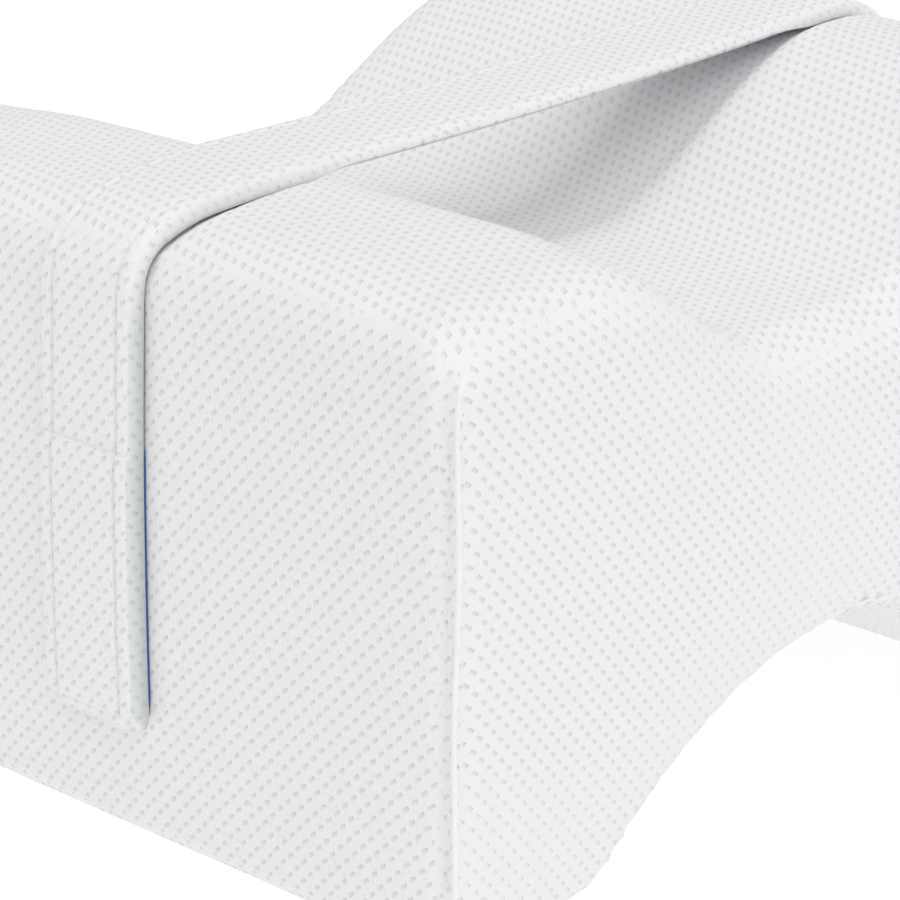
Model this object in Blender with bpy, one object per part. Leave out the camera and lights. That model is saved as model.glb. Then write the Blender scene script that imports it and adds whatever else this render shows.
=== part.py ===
"""A contoured knee pillow: one filled body with a channel in its top, an arch
under it and two flat feet, and a padded band that crosses the channel.

Metres, +Z up. X runs along the pillow from its left end to its right end, Y
from its near face to its far face. The origin is on the surface that the
pillow stands on, under its middle.
"""

import math

import bmesh
import bpy
from mathutils import Vector

# The whole pillow.
LENGTH = 0.260
DEPTH = 0.208
GAP = 0.0003

# The line along the top: two lobes, with a channel between them. Places along
# this line and the arch are measured from the pillow's left end.
LEFT_LOBE = 0.1312
CHANNEL = 0.1038
RIGHT_LOBE = 0.1359
LEFT_CREST = 0.049
CHANNEL_START = 0.108
CHANNEL_END = 0.140
RIGHT_CREST = 0.230
SHOULDER = 0.022
LEFT_SHOULDER_DROP = 0.0058
RIGHT_SHOULDER_DROP = 0.0088

# The arch under the channel: two arcs that meet at its highest point.
ARCH_TOP = 0.0375
ARCH_PEAK = 0.1285
ARCH_LEFT_RADIUS = 0.1130
ARCH_RIGHT_RADIUS = 0.0811
FOOT_ROLL = 0.004

# How the stuffing rounds the faces and edges. An end's roll reaches the foot
# under it by FOOT_SHARE of its depth only, because the feet's edges are crisp.
TOP_ROLL = 0.0155
BOTTOM_ROLL = 0.0022
END_ROLL = 0.0055
FOOT_SHARE = 0.4
FACE_CROWN = 0.0014
END_CROWN = 0.0012
TOP_CROWN = 0.0006

# The band and the lining under it. An edge is how far the strip's sides are
# drawn in, the radius of their corners and the crown of its face.
BAND_WIDTH = 0.0302
TAB_WIDTH = 0.0265
BAND_THICKNESS = 0.0036
BAND_EDGE = (0.0, 0.0012, 0.0005)
BAND_SAG = 0.0014
BAND_SPAN = 0.170
BAND_BEND = BAND_SAG / (BAND_SPAN / 2.0) ** 2
LINING_THICKNESS = 0.0010
LINING_EDGE = (0.0006, 0.0002, 0.0)
TAB_FOOT = 0.0269
TAB_CORNER = 0.0050
STEP_HEIGHT = 0.0841
STEP_DEPTH = 0.0008
TAB_OFFSET = -0.0054
LOBE_OFFSET = 0.0010
WIDENING = 0.050

# How finely the round stretches are divided.
TOP_STEPS = 46
ROLL_STEPS = 4
SIDE_STEPS = 5
DEPTH_STEPS = 8
FACE_RINGS = (0.82, 0.55, 0.25)
TAB_STEPS = 12
TAB_CORNER_STEPS = (0.0, 0.12, 0.35, 0.65, 1.0)

WHITE_KNIT = (0.840, 0.840, 0.840)
BLUE_LINING = (0.021, 0.128, 0.402)


def clear_scene():
    for thing in list(bpy.data.objects):
        bpy.data.objects.remove(thing)


def cloth(name, colour, roughness):
    material = bpy.data.materials.new(name)
    material.use_nodes = True
    shader = material.node_tree.nodes["Principled BSDF"]
    shader.inputs["Base Color"].default_value = (*colour, 1.0)
    shader.inputs["Roughness"].default_value = roughness
    shader.inputs["Metallic"].default_value = 0.0
    return material


def ramp(place, start, end):
    """Rise smoothly from 0 at start to 1 at end."""
    t = min(max((place - start) / (end - start), 0.0), 1.0)
    return t * t * (3.0 - 2.0 * t)


def top_height(place):
    """Height of the top line at a place along the pillow."""
    height = LEFT_LOBE
    height += (CHANNEL - LEFT_LOBE) * ramp(place, LEFT_CREST, CHANNEL_START)
    height += (RIGHT_LOBE - CHANNEL) * ramp(place, CHANNEL_END, RIGHT_CREST)
    left = max(1.0 - place / SHOULDER, 0.0)
    right = max(1.0 - (LENGTH - place) / SHOULDER, 0.0)
    return height - LEFT_SHOULDER_DROP * left ** 2 - RIGHT_SHOULDER_DROP * right ** 2


def bottom_height(place):
    """Height of the underside: flat feet, rolled into the arch between them."""
    across = place - ARCH_PEAK
    radius = ARCH_LEFT_RADIUS if across < 0.0 else ARCH_RIGHT_RADIUS
    inside = max(radius ** 2 - across ** 2, 0.0)
    arch = ARCH_TOP - radius + math.sqrt(inside)
    if arch >= FOOT_ROLL:
        return arch
    return max(arch + FOOT_ROLL, 0.0) ** 2 / (4.0 * FOOT_ROLL)


def quarter(radius, start):
    """Points of a quarter circle about its centre, from the angle start on."""
    turn = [start + math.pi / 2.0 * step / ROLL_STEPS for step in range(ROLL_STEPS + 1)]
    return [(radius * math.cos(angle), radius * math.sin(angle)) for angle in turn]


def between(start, end, count, bulge):
    """Points between two corners, ends left out, bowed by bulge to the right."""
    run = Vector((end[0] - start[0], end[1] - start[1]))
    out = Vector((run.y, -run.x)).normalized() * bulge
    points = []
    for step in range(1, count):
        t = step / count
        point = Vector(start) + run * t + out * (4.0 * t * (1.0 - t))
        points.append((point.x, point.y))
    return points


def cross_section(place, inset):
    """Outline (y, z) across the pillow, counter-clockwise seen from its right
    end, drawn in on all sides by inset."""
    near = inset + FACE_CROWN - DEPTH / 2.0
    far = -near
    low = bottom_height(place) + inset * FOOT_SHARE
    high = top_height(place) - inset
    top_roll = TOP_ROLL - inset
    bottom_roll = max(BOTTOM_ROLL - inset * FOOT_SHARE, 0.001)
    corners = (
        (far - bottom_roll, low + bottom_roll, bottom_roll, -math.pi / 2.0),
        (far - top_roll, high - top_roll, top_roll, 0.0),
        (near + top_roll, high - top_roll, top_roll, math.pi / 2.0),
        (near + bottom_roll, low + bottom_roll, bottom_roll, math.pi),
    )
    arcs = []
    for y, z, radius, start in corners:
        arcs.append([(y + dy, z + dz) for dy, dz in quarter(radius, start)])
    sides = ((SIDE_STEPS, FACE_CROWN), (DEPTH_STEPS, TOP_CROWN),
             (SIDE_STEPS, FACE_CROWN), (DEPTH_STEPS, 0.0))
    outline = []
    for index, (count, bulge) in enumerate(sides):
        following = arcs[(index + 1) % len(arcs)]
        outline += arcs[index]
        outline += between(arcs[index][-1], following[0], count, bulge)
    return outline


def stations():
    """Places along the pillow and how far each section is drawn in there: the
    roll of the left end, the run between, the roll of the right end."""
    rolled = []
    for step in range(ROLL_STEPS):
        angle = math.pi / 2.0 * step / ROLL_STEPS
        place = END_CROWN + END_ROLL * (1.0 - math.cos(angle))
        rolled.append((place, END_ROLL * (1.0 - math.sin(angle))))
    first = END_CROWN + END_ROLL
    run = LENGTH - 2.0 * first
    plain = [(first + run * step / TOP_STEPS, 0.0) for step in range(TOP_STEPS + 1)]
    mirrored = [(LENGTH - place, inset) for place, inset in reversed(rolled)]
    return rolled + plain + mirrored


def end_face_span(place):
    """Lowest and highest point of an end face, inside its roll."""
    return bottom_height(place) + END_ROLL * FOOT_SHARE, top_height(place) - END_ROLL


def end_face_rings(rim, place, outwards):
    """Rings that close an end: the rim's outline shrunk to its middle, and
    crowned outwards by the stuffing."""
    middle = Vector((rim[0].x, 0.0, sum(end_face_span(place)) / 2.0))
    rings = []
    for size in FACE_RINGS:
        crown = Vector((outwards * END_CROWN * (1.0 - size ** 2), 0.0, 0.0))
        rings.append([middle + (point - middle) * size + crown for point in rim])
    return rings


def body_from_rings(name, rings, material):
    """One closed body through rings of equally many points, capped at each end."""
    mesh = bmesh.new()
    rows = [[mesh.verts.new(point) for point in ring] for ring in rings]
    count = len(rings[0])
    for row, following in zip(rows, rows[1:]):
        for index in range(count):
            after = (index + 1) % count
            mesh.faces.new((row[index], row[after], following[after], following[index]))
    mesh.faces.new(list(reversed(rows[0])))
    mesh.faces.new(rows[-1])
    bmesh.ops.recalc_face_normals(mesh, faces=mesh.faces[:])
    data = bpy.data.meshes.new(name)
    mesh.to_mesh(data)
    mesh.free()
    data.materials.append(material)
    data.shade_smooth()
    data.set_sharp_from_angle(angle=math.radians(50.0))
    thing = bpy.data.objects.new(name, data)
    bpy.context.collection.objects.link(thing)
    return thing


def make_pillow(material):
    rings = []
    for place, inset in stations():
        x = place - LENGTH / 2.0
        rings.append([Vector((x, y, z)) for y, z in cross_section(place, inset)])
    left = end_face_rings(rings[0], END_CROWN, -1.0)
    right = end_face_rings(rings[-1], LENGTH - END_CROWN, 1.0)
    return body_from_rings("pillow", list(reversed(left)) + rings + right, material)


def end_face_line(place, height):
    """How far an end face is drawn in at a height, at the middle of its depth."""
    low, high = end_face_span(place)
    size = abs(2.0 * height - low - high) / (high - low)
    return END_CROWN * min(size, 1.0) ** 2


def taut_over(line):
    """The stretched band's line over points that run from left to right: it
    bridges each hollow, with a slight sag."""
    hull = []
    for x, z in line:
        point = Vector((x, z - BAND_BEND * x ** 2))
        while len(hull) > 1:
            turn = (hull[-1] - hull[-2]).cross(point - hull[-2])
            if turn < 0.0:
                break
            hull.pop()
        hull.append(point)
    return [(point.x, point.y + BAND_BEND * point.x ** 2) for point in hull]


def tab_line(place, side, rim):
    """The band's line on one end face, from the tab's foot up to the face's rim."""
    corner = TAB_FOOT + TAB_CORNER
    heights = [TAB_FOOT + TAB_CORNER * share for share in TAB_CORNER_STEPS]
    heights += [corner + (rim - corner) * step / TAB_STEPS for step in range(1, TAB_STEPS)]
    return [(side * (LENGTH / 2.0 - end_face_line(place, z)), z) for z in heights]


def band_line():
    """The line (x, z) on the pillow that the band follows, from the foot of
    the left tab over the top to the foot of the right tab."""
    crown = TOP_CROWN
    top = [(place - LENGTH / 2.0, top_height(place) - inset + crown)
           for place, inset in stations()]
    hull = taut_over(top)
    line = []
    for start, end in zip(hull, hull[1:]):
        pieces = max(round((end[0] - start[0]) / (LENGTH / TOP_STEPS * 2.0)), 1)
        for step in range(pieces):
            t = step / pieces
            x = start[0] + (end[0] - start[0]) * t
            z = start[1] + (end[1] - start[1]) * t
            line.append((x, z - BAND_BEND * (x - start[0]) * (end[0] - x)))
    line.append(hull[-1])
    left = tab_line(END_CROWN, -1.0, line[0][1])
    right = tab_line(LENGTH - END_CROWN, 1.0, line[-1][1])
    return left + line + list(reversed(right))


def band_normals(line):
    normals = []
    for index in range(len(line)):
        before = Vector(line[max(index - 1, 0)])
        after = Vector(line[min(index + 1, len(line) - 1)])
        run = (after - before).normalized()
        normals.append(Vector((-run.y, run.x)))
    return normals


def strip_section(width, thickness, corner, crown):
    """Outline (y, t) of a flat strip, t from its underside to its outer face."""
    half = width / 2.0
    points = [(-half, corner), (-half + corner * 0.3, corner * 0.3), (-half + corner, 0.0)]
    points += [(0.0, 0.0)]
    points += [(half - corner, 0.0), (half - corner * 0.3, corner * 0.3), (half, corner)]
    top = thickness - crown
    points += [(half, top - corner), (half - corner * 0.3, top - corner * 0.3),
               (half - corner, top)]
    points += [(half / 2.0, thickness - crown * 0.25), (0.0, thickness),
               (-half / 2.0, thickness - crown * 0.25)]
    points += [(-half + corner, top), (-half + corner * 0.3, top - corner * 0.3),
               (-half, top - corner)]
    return points


def make_strip(name, clearance, thickness, edge, step_depth, material):
    """A strip along the band's line, this far off the pillow, with rounded tab
    ends and a thicker stretch below the step on each tab. Edge holds how far
    its sides are drawn in, their corner radius and its crown."""
    inset, corner, crown = edge
    line = band_line()
    normals = band_normals(line)
    lengths = [0.0]
    for start, end in zip(line, line[1:]):
        lengths.append(lengths[-1] + (Vector(end) - Vector(start)).length)
    rings = []
    for (x, z), normal, reached in zip(line, normals, lengths):
        from_end = min(reached, lengths[-1] - reached)
        short = max(TAB_CORNER - from_end, 0.0)
        cut = TAB_CORNER - math.sqrt(TAB_CORNER ** 2 - short ** 2)
        from_left = ramp(x, -LENGTH / 2.0, WIDENING - LENGTH / 2.0)
        from_right = ramp(-x, -LENGTH / 2.0, WIDENING - LENGTH / 2.0)
        middle = TAB_OFFSET + (LOBE_OFFSET - TAB_OFFSET) * from_left
        width = TAB_WIDTH + (BAND_WIDTH - TAB_WIDTH) * min(from_left, from_right)
        width -= 2.0 * (cut + inset)
        thick = thickness + (step_depth if z < STEP_HEIGHT else 0.0)
        ring = []
        for y, t in strip_section(width, thick, corner, crown):
            out = clearance + t
            ring.append(Vector((x + normal.x * out, middle + y, z + normal.y * out)))
        rings.append(ring)
    return body_from_rings(name, rings, material)


def main():
    clear_scene()
    knit = cloth("pillow_knit", WHITE_KNIT, 0.85)
    band_knit = cloth("band_knit", WHITE_KNIT, 0.80)
    lining = cloth("band_lining", BLUE_LINING, 0.60)
    make_pillow(knit)
    make_strip("strap_lining", GAP, LINING_THICKNESS, LINING_EDGE, 0.0, lining)
    make_strip("strap", 2.0 * GAP + LINING_THICKNESS, BAND_THICKNESS, BAND_EDGE,
               STEP_DEPTH, band_knit)


main()
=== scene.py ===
"""A contoured knee pillow in a dented white knit cover, with a padded band
stretched over its channel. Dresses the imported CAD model; metres, +Z up.
"""
import math

import bmesh
import bpy
from mathutils import Matrix, Vector
from mathutils.bvhtree import BVHTree


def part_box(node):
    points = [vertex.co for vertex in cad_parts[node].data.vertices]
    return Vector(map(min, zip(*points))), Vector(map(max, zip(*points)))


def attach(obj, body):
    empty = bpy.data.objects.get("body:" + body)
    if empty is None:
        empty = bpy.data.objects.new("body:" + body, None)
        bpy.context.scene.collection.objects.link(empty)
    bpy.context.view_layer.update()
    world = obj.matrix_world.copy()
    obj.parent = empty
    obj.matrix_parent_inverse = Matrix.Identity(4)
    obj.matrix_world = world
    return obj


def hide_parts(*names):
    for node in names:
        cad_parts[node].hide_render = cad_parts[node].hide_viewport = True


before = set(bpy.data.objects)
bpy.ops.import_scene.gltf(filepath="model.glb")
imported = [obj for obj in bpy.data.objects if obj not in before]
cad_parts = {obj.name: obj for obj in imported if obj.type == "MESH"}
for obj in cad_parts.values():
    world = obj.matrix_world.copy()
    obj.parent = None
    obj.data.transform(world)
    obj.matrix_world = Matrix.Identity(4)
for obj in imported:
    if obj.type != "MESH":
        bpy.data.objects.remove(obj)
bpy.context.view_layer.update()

# The camera stands at the pillow's near left corner, a little above it, with a
# long lens. It is placed by the repeat of the knit's dents on the near face.
CAMERA_PLACE = (-0.5987, -0.5243, 0.3355)
CAMERA_TURN = math.radians(-47.95)
CAMERA_TILT = math.radians(90.0 - 19.74)
CAMERA_ROLL = math.radians(0.64)
CAMERA_LENS = 144.48
CAMERA_SENSOR = 36.0
CAMERA_CLIP = 0.01
bpy.ops.object.select_all(action="DESELECT")
bpy.ops.object.camera_add(location=CAMERA_PLACE)
camera = bpy.context.object
camera.name = "photo_camera"
camera.data.lens = CAMERA_LENS
camera.data.sensor_width = CAMERA_SENSOR
camera.data.clip_start = CAMERA_CLIP
camera.matrix_world = (Matrix.Translation(CAMERA_PLACE) @ Matrix.Rotation(CAMERA_TURN, 4, "Z")
                       @ Matrix.Rotation(CAMERA_TILT, 4, "X") @ Matrix.Rotation(CAMERA_ROLL, 4, "Z"))
bpy.context.scene.camera = camera

# The studio: a white table that glows a little, an even surround, a light
# overhead that throws the band's shadow into the channel, and two broad ones
# on the near side and the end. A light is its strength, spread and turn.
SKY = 0.49
SKY_TINT = (0.985, 1.0, 0.987)
OVERHEAD = (0.44, 22.0, (math.radians(-11.0), math.radians(4.0), 0.0))
NEAR_LIGHT = (1.05, 90.0, (math.radians(41.0), 0.0, 0.0))
END_LIGHT = (0.54, 80.0, (math.radians(45.0), 0.0, math.radians(-90.0)))
LAMP_TINT = (1.0, 0.972, 0.996)
TABLE_WHITE = 0.35
TABLE_GLOW = 0.72
TABLE_GRAIN = 0.01
TABLE_SIZE = 8.0
bpy.context.scene.view_settings.view_transform = "Standard"


class Knot:
    """A socket of a node tree that takes part in sums."""

    def __init__(self, tree, socket):
        self.tree = tree
        self.socket = socket

    def math(self, operation, *others):
        return self.tree.node("ShaderNodeMath", {"operation": operation}, [self, *others])

    def __add__(self, other):
        return self.math("ADD", other)

    def __sub__(self, other):
        return self.math("SUBTRACT", other)

    def __mul__(self, other):
        return self.math("MULTIPLY", other)

    def __truediv__(self, other):
        return self.math("DIVIDE", other)

    def __rsub__(self, other):
        return self.tree.node("ShaderNodeMath", {"operation": "SUBTRACT"}, [other, self])

    __radd__ = __add__
    __rmul__ = __mul__

    def clamp(self):
        return self.tree.node("ShaderNodeClamp", {}, [self, 0.0, 1.0])


class Tree:
    """The nodes of one material."""

    def __init__(self, name):
        self.material = bpy.data.materials.new(name)
        self.material.use_nodes = True
        self.nodes = self.material.node_tree.nodes
        self.links = self.material.node_tree.links
        self.shader = self.nodes["Principled BSDF"]

    def node(self, kind, settings, sockets, out=0):
        """Add a node with these settings, feed its sockets and return an output."""
        made = self.nodes.new(kind)
        for key, value in settings.items():
            setattr(made, key, value)
        pairs = sockets.items() if isinstance(sockets, dict) else enumerate(sockets)
        for key, value in pairs:
            self.feed(made.inputs[key], value)
        return Knot(self, made.outputs[out])

    def feed(self, socket, value):
        if isinstance(value, Knot):
            self.links.new(value.socket, socket)
        else:
            socket.default_value = value

    def finish(self, **sockets):
        for key, value in sockets.items():
            self.feed(self.shader.inputs[key.replace("_", " ")], value)
        return self.material


def table_white():
    """The table's even white, with a faint grain."""
    tree = Tree("table_white")
    grain = tree.node("ShaderNodeTexNoise", {}, {"Scale": 9.0, "Detail": 2.0}, "Fac")
    tone = grain * TABLE_GRAIN + (TABLE_WHITE - TABLE_GRAIN / 2.0)
    colour = tree.node("ShaderNodeCombineColor", {}, [tone, tone, tone])
    tree.shader.inputs["Emission Color"].default_value = (1.0, 1.0, 1.0, 1.0)
    tree.shader.inputs["Emission Strength"].default_value = TABLE_GLOW
    tree.shader.inputs["Specular IOR Level"].default_value = 0.0
    return tree.finish(Base_Color=colour, Roughness=0.9)


bpy.ops.object.select_all(action="DESELECT")
bpy.ops.mesh.primitive_plane_add(size=TABLE_SIZE, location=(0.0, 0.0, 0.0))
table = bpy.context.object
table.name = "studio_table"
table.data.materials.append(table_white())

world = bpy.data.worlds.new("surround")
bpy.context.scene.world = world
world.use_nodes = True
world.node_tree.nodes["Background"].inputs["Color"].default_value = (*SKY_TINT, 1.0)
world.node_tree.nodes["Background"].inputs["Strength"].default_value = SKY
for name, (strength, spread, turn) in (("overhead_light", OVERHEAD), ("near_light", NEAR_LIGHT),
                                       ("end_light", END_LIGHT)):
    bpy.ops.object.light_add(type="SUN", location=(0.0, 0.0, 1.0), rotation=turn)
    lamp = bpy.context.object
    lamp.name = name
    lamp.data.energy = strength
    lamp.data.angle = math.radians(spread)
    lamp.data.color = LAMP_TINT

# The pillow: one block of soft foam, cut with a channel on top and an arch
# below, in a fitted cover of white double knit. Its panels are sewn together
# down the corners and round the arch, and the band presses on its middle.

# The knit has small dents in a staggered grid, at its own slant on each panel:
# steps from dent to dent, the place of one dent, the dent's two half sides
# (all in mm) and the way that its shaded sides face, as shares of them. The
# dents' floors and their shaded sides are painted darker and greener: painted
# shade in the hollows, over a bump of the same dents.
NEAR_GRID = ((2.073, -2.218), (1.515, 2.504), (-87.76, 68.60), (0.60, -0.42), (0.25, 0.34), (0.7, 0.7))
END_GRID = ((2.217, -2.313), (1.571, 2.472), (-63.27, 68.97), (-0.68, 0.50), (-0.14, -0.40), (0.7, -0.7))
TOP_GRID = ((-0.469, -2.968), (3.291, 1.869), (-111.55, -58.34), (0.66, 0.11), (0.18, 0.64), (0.2, -0.9))
KNIT_WHITE = (0.850, 0.850, 0.850)
DENT_SHADE_AND_MOTTLE_GREY = (0.726, 0.732, 0.726)
DENT_SHADE_AND_SPECK_GREY = (0.562, 0.612, 0.568)
# painted shade on the band's near-facing sides, also the tint that the end panels' ribs darken with
RIB_AND_FLANK_SHADE_TINT = (0.770, 0.845, 0.778)
RAGGED_SCALE = 900.0
COARSE_SCALE = 55.0
BROAD_SCALE = 14.0
RIB_SCALE = 300.0
SPECK_SCALE = (1150.0, 1150.0, 760.0)
STITCH_SCALE = 1800.0
TAB_TOP = 0.121


def colour_of(value):
    """A colour as a socket takes it: a knot as it is, or three shares."""
    return value if isinstance(value, Knot) else (*value, 1.0)


def mix(tree, share, first, second, blend="MIX"):
    """The first colour, turned into the second by this share."""
    return tree.node("ShaderNodeMix", {"data_type": "RGBA", "blend_type": blend},
                     {"Factor": share, 6: colour_of(first), 7: colour_of(second)}, 2)


def noise(tree, place, scale, detail=0.0):
    """Soft noise of this scale over a place."""
    return tree.node("ShaderNodeTexNoise", {}, {"Vector": place, "Scale": scale, "Detail": detail},
                     "Fac")


def bump(tree, height, strength, distance):
    """The normal of a surface with this fine relief."""
    return tree.node("ShaderNodeBump", {},
                     {"Strength": strength, "Distance": distance, "Height": height})


def dents(tree, across, up, grid, wander):
    """Masks of the dents' floors and of their shaded sides, for one panel
    whose plane has these two coordinates in metres."""
    step_u, step_v, start, half_a, half_b, shade = grid
    area = step_u[0] * step_v[1] - step_u[1] * step_v[0]
    x = across * 1000.0 - start[0]
    y = up * 1000.0 - start[1]
    u = (x * step_v[1] - y * step_v[0]) / area + 0.5
    v = (y * step_u[0] - x * step_u[1]) / area + 0.5
    u = u.math("FRACT") - 0.5
    v = v.math("FRACT") - 0.5
    dx = u * step_u[0] + v * step_v[0]
    dy = u * step_u[1] + v * step_v[1]
    spread = half_a[0] * half_b[1] - half_a[1] * half_b[0]
    along = (dx * half_b[1] - dy * half_b[0]) / spread
    aside = (dy * half_a[0] - dx * half_a[1]) / spread
    reach = along.math("ABSOLUTE").math("MAXIMUM", aside.math("ABSOLUTE")) + wander
    floor = ((1.0 - reach) * 5.0 + 0.5).clamp()
    rim = ((reach - 0.52) * 6.0).clamp() * floor
    shaded = rim * ((along * shade[0] + aside * shade[1]) * 4.0).clamp()
    return floor, shaded


def knit(name, shift, flank_shade):
    """The knit, as one material: shift moves the grids on this piece, and
    flank_shade is how much painted shade darkens its sides that face the near side."""
    tree = Tree(name)
    place = tree.node("ShaderNodeTexCoord", {}, [], "Object")
    facing = tree.node("ShaderNodeTexCoord", {}, [], "Normal")
    split = tree.node("ShaderNodeSeparateXYZ", {}, [place]).socket.node.outputs
    turned = tree.node("ShaderNodeSeparateXYZ", {}, [facing]).socket.node.outputs
    x, y, z = (Knot(tree, output) + move for output, move in zip(split, shift))
    nx, ny, nz = (Knot(tree, output).math("ABSOLUTE") for output in turned)
    ragged = noise(tree, place, RAGGED_SCALE, 1.0)
    coarse = noise(tree, place, COARSE_SCALE, 2.0)
    broad = noise(tree, place, BROAD_SCALE, 1.0)
    wander = (ragged - 0.5) * 0.45
    near_floor, near_side = dents(tree, x, z, NEAR_GRID, wander)
    end_floor, end_side = dents(tree, y, z, END_GRID, wander * 1.2)
    top_floor, top_side = dents(tree, x, y, TOP_GRID, wander * 0.5)

    # which panel a place belongs to, with a ragged border between them
    jitter = (ragged - 0.5) * 0.20
    is_near = ((ny - nx.math("MAXIMUM", nz) + jitter) * 7.0).clamp()
    is_end = ((nx - ny.math("MAXIMUM", nz) + jitter) * 7.0).clamp()
    is_top = ((nz - nx.math("MAXIMUM", ny) + jitter) * 7.0).clamp()
    near_filled = ((broad - 0.42) * 6.0).clamp() * 0.75 + 0.25
    floor = near_floor * is_near * near_filled + end_floor * is_end + top_floor * is_top
    side = near_side * is_near * 0.8 + end_side * is_end * 0.8 + top_side * is_top * 0.6
    hollow = near_floor * is_near + end_floor * is_end + top_floor * is_top

    # fine upright ribs and short specks between the dents of the end panels
    rib_line = tree.node("ShaderNodeTexWave", {"wave_type": "BANDS", "bands_direction": "Y"},
                         {"Vector": place, "Scale": RIB_SCALE, "Distortion": 0.6, "Detail": 1.0},
                         "Fac")
    broken = ((coarse + ragged - 0.75) * 2.0).clamp()
    rib = (rib_line - 0.5) * is_end * broken
    upright = tree.node("ShaderNodeVectorMath", {"operation": "MULTIPLY"}, [place, SPECK_SCALE])
    specks = ((noise(tree, upright, 1.0) - 0.66) * 12.0).clamp() * (is_end * 0.30 + is_near * 0.08)

    # a random mottle of the white toward the grey; then painted shade on the dents' floors and on their
    # shaded sides, where the end panels' specks take the same darker grey
    white = mix(tree, (coarse - 0.35).clamp() * 0.10, KNIT_WHITE, DENT_SHADE_AND_MOTTLE_GREY)
    with_dent_floor_shade = mix(tree, floor.clamp() * 0.9, white, DENT_SHADE_AND_MOTTLE_GREY)
    with_dent_side_shade_and_specks = mix(tree, (side + specks * 0.6).clamp(), with_dent_floor_shade, DENT_SHADE_AND_SPECK_GREY)
    # painted shade, grey-green, on the sides that face the near side low on the band's tabs; the end
    # panels' ribs darken through the same tint
    on_tab = ((TAB_TOP - z) * 110.0).clamp()
    faces_near = ((Knot(tree, turned[1]) * -1.0 - 0.72) * 5.0).clamp()
    shade = (rib * 0.25 + faces_near * on_tab * flank_shade).clamp()
    colour = mix(tree, shade, with_dent_side_shade_and_specks, RIB_AND_FLANK_SHADE_TINT, "MULTIPLY")
    stitch = noise(tree, place, STITCH_SCALE, 2.0)
    relief = stitch * 0.10 + rib * 0.20 - hollow * 0.8 - specks * 0.2
    tree.shader.inputs["Specular IOR Level"].default_value = 0.18
    tree.shader.inputs["Sheen Weight"].default_value = 0.12
    tree.shader.inputs["Sheen Roughness"].default_value = 0.6
    return tree.finish(Base_Color=colour, Roughness=stitch * 0.08 + 0.84,
                       Normal=bump(tree, relief, 0.35, 0.00022))


pillow_knit = knit("pillow_knit_cloth", (0.0, 0.0, 0.0), 0.0)

# The cover's shape: cloth blown up a little from a slightly smaller copy of
# the foam, held at its edges, and then set to these heights over the foam.
SMALLER = 0.0016
VOXEL = 0.0039
PUFF = 0.0009
PRESSED_IN = -0.0002
BAND_PRESSED_HALF = 0.0122
BAND_EDGE_SPAN = 0.0062
LOBE_CROWN = 0.0016
CORNER_REACH = 0.008
CORNER_HOLLOW = 0.0021
CORNER_HOLLOW_OUT = 0.0034
CORNER_HOLLOW_WIDE = 0.0019
CORNER_FILL = 0.0019
LEFT_LOBE_TOP = 0.1312
RIGHT_LOBE_TOP = 0.1359
ARCH_TOP = 0.0375
ARCH_PEAK_X = -0.0015
ARCH_RADII = (0.1130, 0.0811)
EDGE_REACH = 0.0035
HELD_REACH = 0.009
HELD_FADE = 2.2
PRESSURE = 4.0
CLOTH_STEPS = 20
CROWN_FROM_CHANNEL = (0.020, 0.060)
CROWN_FROM_SIDE = (0.014, 0.046)
CROWN_FACING_UP = (0.5, 0.9)
BAND_LOWEST = 0.030
PUFF_AT_EDGE = 0.25
PUFF_FROM_EDGE = (0.004, 0.020)
PUFF_FROM_FLOOR = (0.0005, 0.012)
FILL_FROM_EDGE = (0.006, 0.022)
FILL_BELOW_TOP = (0.026, 0.010)
HOLLOW_LIMITS = (0.014, 0.030)
HOLLOW_FROM_FLOOR = (0.004, 0.020)
HOLLOW_BELOW_TOP = (0.006, 0.020)
BAND_LEFT_Y = -0.0054
BAND_DRIFT = 0.0064
BAND_EASE_RUN = 0.050


def copy_of(node, name):
    """A copy of a CAD node with its own mesh, its loose triangles merged."""
    bpy.ops.object.select_all(action="DESELECT")
    piece = bpy.data.objects.new(name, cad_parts[node].data.copy())
    piece.data.name = name
    piece.data.materials.clear()
    bpy.context.collection.objects.link(piece)
    bpy.context.view_layer.objects.active = piece
    piece.select_set(True)
    bpy.ops.object.mode_set(mode="EDIT")
    bpy.ops.mesh.select_all(action="SELECT")
    bpy.ops.mesh.remove_doubles(threshold=0.00002)
    bpy.ops.object.mode_set(mode="OBJECT")
    return piece


def apply_all(piece):
    """Apply every modifier of a piece, from the first to the last."""
    bpy.ops.object.select_all(action="DESELECT")
    bpy.context.view_layer.objects.active = piece
    piece.select_set(True)
    for modifier in list(piece.modifiers):
        bpy.ops.object.modifier_apply(modifier=modifier.name)


def ease(value, start, end):
    """Rise smoothly from 0 at start to 1 at end."""
    share = min(max((value - start) / (end - start), 0.0), 1.0)
    return share * share * (3.0 - 2.0 * share)


def band_middle(x):
    """The band's middle line (y) over a place along the pillow."""
    return BAND_LEFT_Y + BAND_DRIFT * ease(x, foam_low.x, foam_low.x + BAND_EASE_RUN)


def from_corner(point):
    """Distances of a point from the end face's and the side face's planes."""
    return (min(point.x - foam_low.x, foam_high.x - point.x),
            min(point.y - foam_low.y, foam_high.y - point.y))


def from_arch(point):
    """The distance of a point from the arch's line, seen from the side."""
    radius = ARCH_RADII[0] if point.x < ARCH_PEAK_X else ARCH_RADII[1]
    return abs(math.hypot(point.x - ARCH_PEAK_X, point.z - ARCH_TOP + radius) - radius)


def lobe_top(point):
    """The height of the lobe on a point's side."""
    return RIGHT_LOBE_TOP if point.x > 0.0 else LEFT_LOBE_TOP


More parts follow.
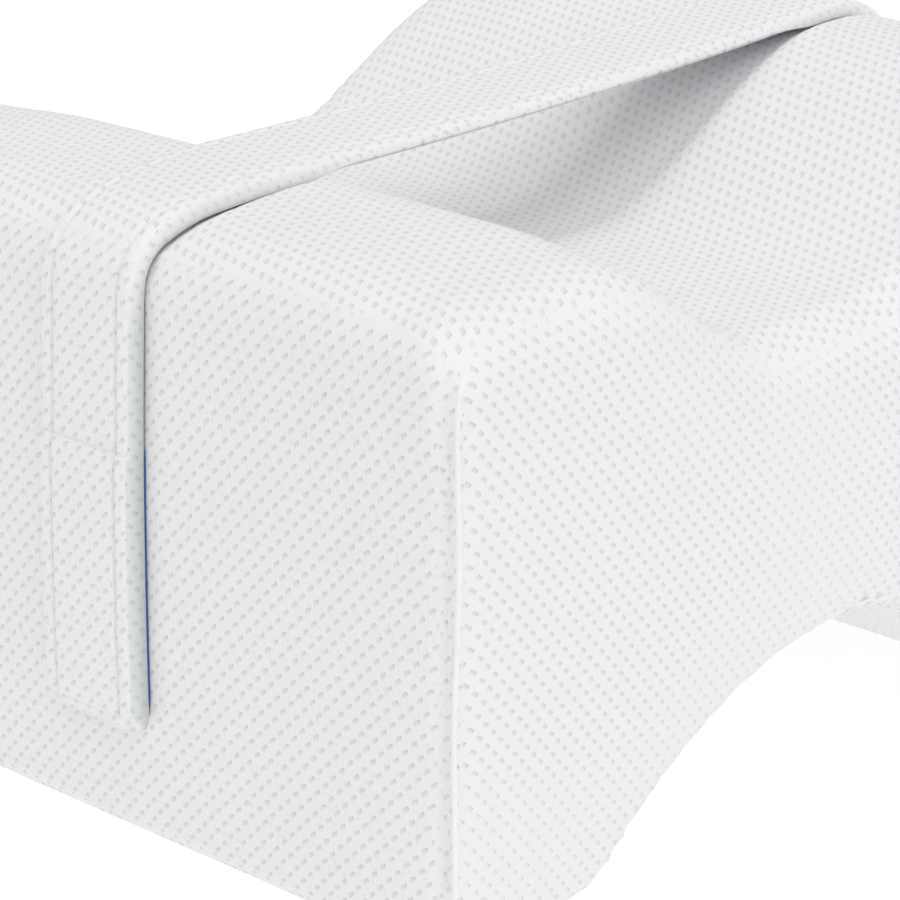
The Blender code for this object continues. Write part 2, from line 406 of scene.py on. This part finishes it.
def held(point):
    """How firmly the cover is held on the foam: 1 on its sewn and pressed
    edges, falling to 0 over the free faces."""
    to_end, to_side = from_corner(point)
    from_edges = min(math.hypot(to_end, to_side), math.hypot(to_side, from_arch(point)),
                     math.hypot(to_side, point.z), math.hypot(to_end, point.z), point.z * 2.0)
    return 1.0 - ease(from_edges, HELD_REACH, HELD_REACH * HELD_FADE)


def turns_sharply(point):
    """Whether a point lies by a corner seam, or by the edge of the arch or of
    a foot on a side face, where the cloth needs finer faces."""
    to_end, to_side = from_corner(point)
    on_edge = from_arch(point) < EDGE_REACH or point.z < EDGE_REACH
    return max(to_end, to_side) < CORNER_REACH or (to_side < EDGE_REACH and on_edge)


def most_puff(point, facing):
    """How far the cover stands off the foam at a point: most between the
    edges, nothing where it is stitched, pressed by the band or stood on."""
    corner = from_corner(point)
    lobe = ease(abs(point.x), *CROWN_FROM_CHANNEL) * ease(facing.z, *CROWN_FACING_UP)
    puff = PUFF + LOBE_CROWN * lobe * ease(corner[1], *CROWN_FROM_SIDE)
    if point.z > BAND_LOWEST:
        beside = abs(point.y - band_middle(point.x)) - BAND_PRESSED_HALF
        puff *= ease(beside, 0.0, BAND_EDGE_SPAN)
    puff *= PUFF_AT_EDGE + (1.0 - PUFF_AT_EDGE) * ease(max(corner), *PUFF_FROM_EDGE)
    puff *= ease(point.z, *PUFF_FROM_FLOOR)
    below_top = [lobe_top(point) - drop for drop in FILL_BELOW_TOP]
    at_corner = 1.0 - ease(max(corner), *FILL_FROM_EDGE)
    return puff + CORNER_FILL * at_corner * ease(point.z, *below_top)


def corner_hollow(point):
    """The soft hollow that the corner seam draws in on its end face side."""
    across, beside = from_corner(point)
    if across > HOLLOW_LIMITS[0] or beside > HOLLOW_LIMITS[1]:
        return 0.0
    out = (beside - across - CORNER_HOLLOW_OUT) / CORNER_HOLLOW_WIDE
    upright = ease(point.z, *HOLLOW_FROM_FLOOR) * ease(lobe_top(point) - point.z, *HOLLOW_BELOW_TOP)
    return CORNER_HOLLOW * math.exp(-out * out) * upright


foam = copy_of("pillow", "foam_shape")
foam_shape = bmesh.new()
foam_shape.from_mesh(foam.data)
foam_tree = BVHTree.FromBMesh(foam_shape)
foam_low, foam_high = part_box("pillow")

pillow = copy_of("pillow", "pillow_cover")
bpy.ops.object.mode_set(mode="EDIT")
bpy.ops.mesh.select_all(action="SELECT")
bpy.ops.transform.shrink_fatten(value=-SMALLER)
bpy.ops.object.mode_set(mode="OBJECT")
remesh = pillow.modifiers.new("even_cloth", "REMESH")
remesh.mode = "VOXEL"
remesh.voxel_size = VOXEL
apply_all(pillow)
cloth = pillow.modifiers.new("stuffing", "CLOTH")
cloth.settings.use_pressure = True
cloth.settings.uniform_pressure_force = PRESSURE
cloth.settings.effector_weights.gravity = 0.0
cloth.settings.quality = 5
group = pillow.vertex_groups.new(name="held")
for vertex in pillow.data.vertices:
    group.add([vertex.index], held(vertex.co), "REPLACE")
cloth.settings.vertex_group_mass = group.name
for step in range(1, CLOTH_STEPS + 1):
    bpy.context.scene.frame_set(step)
apply_all(pillow)
bpy.context.scene.frame_set(1)
rounding = pillow.modifiers.new("rounding", "SUBSURF")
rounding.levels = rounding.render_levels = 1
apply_all(pillow)

bpy.ops.object.mode_set(mode="EDIT")
bpy.ops.mesh.select_mode(type="FACE")
bpy.ops.mesh.select_all(action="DESELECT")
bpy.ops.object.mode_set(mode="OBJECT")
for face in pillow.data.polygons:
    face.select = turns_sharply(face.center)
bpy.ops.object.mode_set(mode="EDIT")
bpy.ops.mesh.subdivide(number_cuts=2, smoothness=0.0)
bpy.ops.object.mode_set(mode="OBJECT")

for vertex in pillow.data.vertices:
    closest, facing, _, _ = foam_tree.find_nearest(vertex.co)
    off = (vertex.co - closest).dot(facing)
    limit = most_puff(closest, facing)
    off = min(max(off + PUFF + LOBE_CROWN + CORNER_FILL, PRESSED_IN), limit)
    vertex.co = closest + facing * (off - corner_hollow(closest))
bpy.data.objects.remove(foam)
pillow.data.shade_smooth()
pillow.data.materials.append(pillow_knit)
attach(pillow, "root")
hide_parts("pillow")

# The seams of the cover: the end panels meet the side panels in thin sewn
# ridges down the four corners, and a fine rolled edge of the same knit runs
# round the arch on both side faces. Both are painted a little whiter than the
# knit, as a painted highlight along them.
SEAM_RADIUS = 0.00064
SEAM_BURIED = 0.00020
SEAM_ROUND = 8
SEAM_FOOT = 0.003
SEAM_BELOW_TOP = 0.0035
SEAM_LEAN = 0.0030
SEAM_LEAN_REACH = 0.014
SEAM_PITCH = 0.0020
ARCH_LIP_RADIUS = 0.00075
ARCH_LIP_BURIED = 0.0003375
ARCH_LIP_WAVER = 0.0002
ARCH_LIP_WAVER_RATE = 31.0
ARCH_LIP_IN = 0.0017
ARCH_FOOT = 0.004
ARCH_LIP_STEPS = 90
SEAM_WAVER = 0.0003
SEAM_WAVER_RATE = 95.0
RIDGE_TAPER_STEPS = 4.0
RIDGE_TIP = 0.1
# whiter than the knit: a painted highlight along the seam ridges and arch lips
SEAM_HIGHLIGHT_WHITE = (0.890, 0.890, 0.890)
SEAM_STITCH_SCALE = 1500.0
RAY_START = 0.01

cover = bmesh.new()
cover.from_mesh(pillow.data)
cover_tree = BVHTree.FromBMesh(cover)


def seam_knit():
    """The bare folded edge of the knit in a seam, with no dents in it, painted a little whiter than the
    knit as a highlight along the ridge.
    """
    tree = Tree("seam_knit_cloth")
    place = tree.node("ShaderNodeTexCoord", {}, [], "Object")
    stitch = noise(tree, place, SEAM_STITCH_SCALE, 2.0)
    colour = mix(tree, stitch * 0.35, SEAM_HIGHLIGHT_WHITE, KNIT_WHITE)
    return tree.finish(Base_Color=colour, Roughness=stitch * 0.08 + 0.84,
                       Normal=bump(tree, stitch, 0.3, 0.0002))


seam_cloth = seam_knit()


def close_up(piece, nearer_than):
    """Merge a piece's touching points, turn its faces out and shade it smooth."""
    bpy.ops.object.mode_set(mode="EDIT")
    bpy.ops.mesh.select_all(action="SELECT")
    bpy.ops.mesh.remove_doubles(threshold=nearer_than)
    bpy.ops.mesh.normals_make_consistent(inside=False)
    bpy.ops.object.mode_set(mode="OBJECT")
    piece.data.shade_smooth()


def on_cover(starts, inward):
    """Where lines from these starts meet the cover, and its normals there."""
    found = [cover_tree.ray_cast(start - inward * RAY_START, inward) for start in starts]
    found = [hit for hit in found if hit[0] is not None]
    return [hit[0] for hit in found], [hit[1] for hit in found]


def ridge(name, points, normals, radius, buried):
    """A thin round ridge along points on the cover, tapered at its ends."""
    bpy.ops.object.select_all(action="DESELECT")
    last = len(points) - 1
    bpy.ops.mesh.primitive_grid_add(x_subdivisions=last, y_subdivisions=SEAM_ROUND, size=1.0)
    piece = bpy.context.object
    piece.name = piece.data.name = name
    for vertex in piece.data.vertices:
        index = round((vertex.co.x + 0.5) * last)
        angle = (vertex.co.y + 0.5) * math.tau
        run = (points[min(index + 1, last)] - points[max(index - 1, 0)]).normalized()
        out = (normals[index] - run * normals[index].dot(run)).normalized()
        side = run.cross(out)
        taper = ease(min(index, last - index), -0.5, RIDGE_TAPER_STEPS)
        middle = points[index] - out * (buried + radius * (1.0 - taper))
        round_it = out * math.cos(angle) + side * math.sin(angle)
        vertex.co = middle + round_it * radius * max(taper, RIDGE_TIP)
    close_up(piece, 0.000005)
    piece.data.materials.append(seam_cloth)
    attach(piece, "root")


for end, end_x in (("left", foam_low.x), ("right", foam_high.x)):
    for side, side_y in (("near", foam_low.y), ("far", foam_high.y)):
        inward = Vector((-math.copysign(1.0, end_x), -math.copysign(1.0, side_y), 0.0)).normalized()
        aside = Vector((-math.copysign(1.0, end_x), math.copysign(1.0, side_y), 0.0)).normalized()
        top = (LEFT_LOBE_TOP if end == "left" else RIGHT_LOBE_TOP) - SEAM_BELOW_TOP
        steps = int((top - SEAM_FOOT) / SEAM_PITCH)
        starts = []
        for step in range(steps + 1):
            z = SEAM_FOOT + (top - SEAM_FOOT) * step / steps
            lean = SEAM_LEAN * ease(z, top - SEAM_LEAN_REACH, top) ** 2
            waver = SEAM_WAVER * math.sin(z * SEAM_WAVER_RATE)
            starts.append(Vector((end_x, side_y, z)) + aside * (lean + waver))
        points, normals = on_cover(starts, inward)
        ridge(f"corner_seam_{end}_{side}", points, normals, SEAM_RADIUS, SEAM_BURIED)

arch_ends = [math.acos((radius - ARCH_TOP + ARCH_FOOT) / radius) for radius in ARCH_RADII]
for side, side_y in (("near", foam_low.y), ("far", foam_high.y)):
    inward = Vector((0.0, -math.copysign(1.0, side_y), 0.0))
    starts = []
    for step in range(ARCH_LIP_STEPS + 1):
        angle = -arch_ends[0] + sum(arch_ends) * step / ARCH_LIP_STEPS
        radius = ARCH_RADII[0] if angle < 0.0 else ARCH_RADII[1]
        reach = radius + ARCH_LIP_IN + ARCH_LIP_WAVER * math.sin(angle * ARCH_LIP_WAVER_RATE)
        starts.append(Vector((ARCH_PEAK_X + math.sin(angle) * reach, side_y,
                              ARCH_TOP - radius + math.cos(angle) * reach)))
    points, normals = on_cover(starts, inward)
    ridge(f"arch_lip_{side}", points, normals, ARCH_LIP_RADIUS, ARCH_LIP_BURIED)

# The band: a padded strip of the same knit, sewn down both ends of the pillow
# and stretched over the channel. A stitched line runs along both its sides,
# and a seam crosses each end, where the strip is a little thicker.
BAND_PITCH = 0.0023
BAND_FINE_REACH = 0.0030
BAND_FINE_PITCH = 0.0004
BAND_ACROSS = (0.0, 0.0002, 0.0006, 0.0011, 0.0017, 0.0026, 0.0034, 0.0039, 0.0043, 0.0047,
               0.0052, 0.0060, 0.0080, 0.0110, 0.0132)
BAND_SIDE_LINE = 0.0043
BAND_WIDE = 0.0302
BAND_TAB_WIDE = 0.0265
BAND_THICK = 0.0036
BAND_LOWER = 0.0009
BAND_RAISED = 0.0004
BAND_ON_LOBE_LOWER = 0.0004
BAND_EDGE_ROUND = 0.0014
BAND_SPAN_ROUND = 0.0024
BAND_STEP_HEIGHT = 0.0877
BAND_STEP = 0.0008
BAND_STEP_RAMP = 0.0003
BAND_STEP_CREASE = 0.0004
BAND_CORNER = 0.0060
BAND_FOOT_UP = 0.0014
BAND_GROOVE = 0.0011
BAND_GROOVE_WIDE = 0.00038
BAND_GROOVE_FROM_END = (0.002, 0.007)
BAND_SPAN_GROOVE = 0.45
BAND_CROWN = 0.0003
BAND_CREASE_WIDE = 0.0006
BAND_CURL = 0.35
BAND_CUT_Y = -0.002
BAND_GRID_SHIFT = (0.0012, 0.0004, -0.0009)
BAND_FLANK_SHADE = 0.55
BEND_REACH = 0.004
HEIGHT_STEP = 0.0002
HEIGHT_NEAR = 0.00011
BRIDGE_LEFT = (-0.080, -0.066)
BRIDGE_RIGHT = (0.084, 0.098)


def underside_line(node, y):
    """The line (x, z) of a strip's underside where a plane across y cuts it,
    from the foot of its left end, over the top, to the foot of its right end."""
    strip = copy_of(node, "strip_shape")
    cut = bmesh.new()
    cut.from_mesh(strip.data)
    bpy.data.objects.remove(strip)
    found = bmesh.ops.bisect_plane(cut, geom=cut.verts[:] + cut.edges[:] + cut.faces[:],
                                   plane_co=(0.0, y, 0.0), plane_no=(0.0, 1.0, 0.0),
                                   clear_inner=True, clear_outer=True)
    cut.edges.ensure_lookup_table()
    edges = [edge for edge in found["geom_cut"] if isinstance(edge, bmesh.types.BMEdge)]
    near = {}
    for edge in edges:
        a, b = edge.verts
        near.setdefault(a, []).append(b)
        near.setdefault(b, []).append(a)
    start = min(near, key=lambda vert: (vert.co.z if vert.co.x < 0.0 else 1.0, -vert.co.x))
    loop, before, here = [start], None, start
    while True:
        onwards = [vert for vert in near[here] if vert is not before]
        before, here = here, onwards[0]
        if here is start:
            break
        loop.append(here)
    points = [Vector((vert.co.x, vert.co.z)) for vert in loop]
    turn = min(range(len(points)), key=lambda i: points[i].y if points[i].x > 0.0 else 1.0)
    sides = [points[:turn + 1], [points[0]] + points[turn:][::-1]]
    sides.sort(key=lambda line: max(abs(point.x) for point in line))
    cut.free()
    return sides[0]


def measured(line):
    """The line's points with the length reached at each."""
    reached = [0.0]
    for start, end in zip(line, line[1:]):
        reached.append(reached[-1] + (end - start).length)
    return reached


def along_line(line, reached, length):
    """The point and the outward normal at a length along the line."""
    length = min(max(length, 0.0), reached[-1])
    index = 0
    while index < len(reached) - 2 and reached[index + 1] < length:
        index += 1
    share = (length - reached[index]) / max(reached[index + 1] - reached[index], 1e-9)
    point = line[index].lerp(line[index + 1], share)
    run = (line[index + 1] - line[index]).normalized()
    return point, Vector((-run.y, run.x))


def smoothed(line, reached, length):
    """The line's point and normal at a length, its bends eased a little."""
    spots = [length + BEND_REACH * share / 3.0 for share in range(-3, 4)]
    normals = [along_line(line, reached, spot)[1] for spot in spots]
    return along_line(line, reached, length)[0], sum(normals, Vector((0.0, 0.0))).normalized()


def lengths_at_height(line, reached, height):
    """The lengths at which a line passes this height."""
    found = []
    for before, start, end in zip(reached, line, line[1:]):
        if (start.y - height) * (end.y - height) <= 0.0:
            trials = [before + share * HEIGHT_STEP for share in range(-40, 400)]
            heights = [along_line(line, reached, trial)[0].y for trial in trials]
            close = [trial for trial, z in zip(trials, heights) if abs(z - height) < HEIGHT_NEAR]
            found += close[:1]
    return found


def flat_strip(name, places_along, places_across):
    """A strip one unit thick, flat on the XY plane, cut at these places."""
    bpy.ops.object.select_all(action="DESELECT")
    bpy.ops.mesh.primitive_grid_add(x_subdivisions=len(places_along) - 1,
                                    y_subdivisions=len(places_across) - 1, size=1.0)
    strip = bpy.context.object
    strip.name = strip.data.name = name
    for vertex in strip.data.vertices:
        column = round((vertex.co.x + 0.5) * (len(places_along) - 1))
        row = round((vertex.co.y + 0.5) * (len(places_across) - 1))
        vertex.co = (places_along[column], places_across[row], 0.0)
    thick = strip.modifiers.new("thickness", "SOLIDIFY")
    thick.thickness = 1.0
    thick.offset = 1.0
    thick.use_even_offset = False
    apply_all(strip)
    return strip


def cuts_along(length, fine):
    """Places along a strip: even steps, with finer ones round the places in
    fine and at both ends."""
    even = round(length / BAND_PITCH)
    places = {round(length * step / even, 5) for step in range(even + 1)}
    for middle in [0.0, length, *fine]:
        steps = round(BAND_FINE_REACH / BAND_FINE_PITCH)
        for step in range(-steps, steps + 1):
            place = middle + step * BAND_FINE_PITCH
            if 0.0 < place < length:
                places.add(round(place, 5))
    return sorted(places)


def across_strip(half, steps):
    """Places across a strip from its edge steps, the same on both sides."""
    return [step - half for step in steps] + [half - step for step in reversed(steps)]


def tab_share(x):
    """How far a place is on a tab (1) rather than on the wide span (0)."""
    inward = min(x - foam_low.x, foam_high.x - x)
    return 1.0 - ease(inward, 0.0, BAND_EASE_RUN)


def end_share(normal):
    """How far a strip faces an end of the pillow (1) rather than upward (0)."""
    return 1.0 - ease(normal.y, 0.1, 0.8)


def laid(point, normal, y, out):
    """A place on a strip: out from its line, and y from its middle line."""
    return Vector((point.x + normal.x * out, band_middle(point.x) + y, point.y + normal.y * out))


def corner_cut(from_end):
    """How much the rounded corners narrow a strip at a place near its end."""
    short = max(BAND_CORNER - from_end, 0.0)
    return BAND_CORNER - math.sqrt(BAND_CORNER ** 2 - short ** 2)


def on_bridge(x):
    """How free of the lobes the band is, over the channel (1) or on them (0)."""
    return ease(x, *BRIDGE_LEFT) * (1.0 - ease(x, *BRIDGE_RIGHT))


def off_feet(length, whole):
    """A place along a strip, drawn up a little from both of its feet."""
    return BAND_FOOT_UP + length * (whole - 2.0 * BAND_FOOT_UP) / whole


under = underside_line("strap", BAND_CUT_Y)
under_reached = measured(under)
BAND_LENGTH = under_reached[-1]
step_lengths = lengths_at_height(under, under_reached, BAND_STEP_HEIGHT)
band = flat_strip("band", cuts_along(BAND_LENGTH, step_lengths),
                  across_strip(BAND_WIDE / 2.0, BAND_ACROSS))
for vertex in band.data.vertices:
    length, side, layer = vertex.co
    from_end = min(length, BAND_LENGTH - length)
    point, normal = smoothed(under, under_reached, off_feet(length, BAND_LENGTH))
    wide = BAND_WIDE + (BAND_TAB_WIDE - BAND_WIDE) * tab_share(point.x)
    from_side = BAND_WIDE / 2.0 - abs(side)
    half = wide / 2.0 - corner_cut(from_end)
    y = math.copysign(max(half - from_side * half / (BAND_WIDE / 2.0), 0.0), side)
    step_at = point.y - BAND_STEP_HEIGHT
    thick = BAND_THICK + BAND_STEP * ease(-step_at, -BAND_STEP_RAMP, BAND_STEP_RAMP)
    thick -= BAND_STEP_CREASE * math.exp(-(step_at / BAND_CREASE_WIDE) ** 2)
    rim = min(from_side, from_end * 0.8)
    on_end = end_share(normal)
    radius = BAND_SPAN_ROUND + (BAND_EDGE_ROUND - BAND_SPAN_ROUND) * on_end
    inside = 1.0 - min(max(rim, 0.0) / radius, 1.0)
    round_off = radius * (1.0 - math.sqrt(1.0 - inside ** 2))
    groove = math.exp(-((from_side - BAND_SIDE_LINE) / BAND_GROOVE_WIDE) ** 2)
    groove *= ease(from_end, *BAND_GROOVE_FROM_END)
    groove *= BAND_SPAN_GROOVE + (1.0 - BAND_SPAN_GROOVE) * on_end
    outer = thick - round_off - BAND_GROOVE * groove
    outer += BAND_CROWN * (1.0 - (side / (BAND_WIDE / 2.0)) ** 2)
    bridge = on_bridge(point.x)
    inner = (BAND_RAISED + round_off * BAND_CURL) * bridge - BAND_LOWER * on_end
    inner -= BAND_ON_LOBE_LOWER * (1.0 - bridge) * (1.0 - on_end)
    vertex.co = laid(point, normal, y, outer if layer > 0.5 else inner)
close_up(band, 0.00001)
# the band's knit, with painted shade on its near-facing sides on the tabs
band.data.materials.append(knit("band_knit_cloth", BAND_GRID_SHIFT, BAND_FLANK_SHADE))
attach(band, "root")
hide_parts("strap")

# The lining: a thin woven strip sewn under the band. Only its blue border
# shows, as a line between the band and the pillow. Its middle is taken as
# undyed, since the shade under the band has no blue in it.
LINING_ACROSS = (0.0, 0.0004, 0.0030, 0.0080)
LINING_THICK = 0.0003
LINING_TAB_INSET = -0.0001
LINING_UPPER_INSET = 0.0004
LINING_SPAN_INSET = 0.0050
LINING_RISE = 0.0005
LINING_BRIDGE_RISE = 0.0012
LINING_BORDER = 0.0030
LINING_BLUE = (0.026, 0.165, 0.520)
LINING_DEEP = (0.018, 0.095, 0.320)
LINING_PALE = (0.800, 0.800, 0.800)
LINING_STEP_SOFT = 0.001
LINING_SHARP = math.radians(50.0)
WEAVE_SCALE = 420.0
WEAVE_UNEVEN_SCALE = 160.0


def lining_weave():
    """A fine plain weave, blue at the border and undyed inside it."""
    tree = Tree("lining_blue_weave")
    place = tree.node("ShaderNodeTexCoord", {}, [], "Object")
    threads = [tree.node("ShaderNodeTexWave", {"wave_type": "BANDS", "bands_direction": direction},
                         {"Vector": place, "Scale": WEAVE_SCALE, "Distortion": 0.4}, "Fac")
               for direction in ("DIAGONAL", "Y")]
    thread = threads[0] * threads[1]
    uneven = noise(tree, place, WEAVE_UNEVEN_SCALE, 2.0)
    blue = mix(tree, (thread * 0.6 + uneven * 0.5).clamp(), LINING_DEEP, LINING_BLUE)
    edge = tree.node("ShaderNodeAttribute", {"attribute_name": "from_edge"}, {}, "Fac")
    inside = ((edge - LINING_BORDER) * 2500.0).clamp()
    return tree.finish(Base_Color=mix(tree, inside, blue, LINING_PALE),
                       Roughness=uneven * 0.1 + 0.55, Normal=bump(tree, thread, 0.3, 0.00012))


lining_line = underside_line("strap_lining", BAND_CUT_Y)
lining_reached = measured(lining_line)
LINING_LENGTH = lining_reached[-1]
lining = flat_strip("band_lining", cuts_along(LINING_LENGTH, []),
                    across_strip(BAND_WIDE / 2.0, LINING_ACROSS))
from_edge = lining.data.attributes.new("from_edge", "FLOAT", "POINT")
for vertex in lining.data.vertices:
    length, side, layer = vertex.co
    from_end = min(length, LINING_LENGTH - length)
    point, normal = smoothed(lining_line, lining_reached, off_feet(length, LINING_LENGTH))
    on_end = end_share(normal)
    above_step = ease(point.y - BAND_STEP_HEIGHT, -LINING_STEP_SOFT, LINING_STEP_SOFT)
    tab_inset = LINING_TAB_INSET + (LINING_UPPER_INSET - LINING_TAB_INSET) * above_step
    inset = LINING_SPAN_INSET + (tab_inset - LINING_SPAN_INSET) * on_end
    wide = BAND_WIDE + (BAND_TAB_WIDE - BAND_WIDE) * tab_share(point.x) - 2.0 * inset
    y = math.copysign(max(abs(side) * wide / BAND_WIDE - corner_cut(from_end), 0.0), side)
    from_edge.data[vertex.index].value = BAND_WIDE / 2.0 - abs(side)
    rise = LINING_RISE + (LINING_BRIDGE_RISE - LINING_RISE) * on_bridge(point.x)
    out = rise * (1.0 - on_end) + (LINING_THICK if layer > 0.5 else 0.0)
    vertex.co = laid(point, normal, y, out)
close_up(lining, 0.00001)
lining.data.set_sharp_from_angle(angle=LINING_SHARP)
lining.data.materials.append(lining_weave())
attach(lining, "root")
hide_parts("strap_lining")
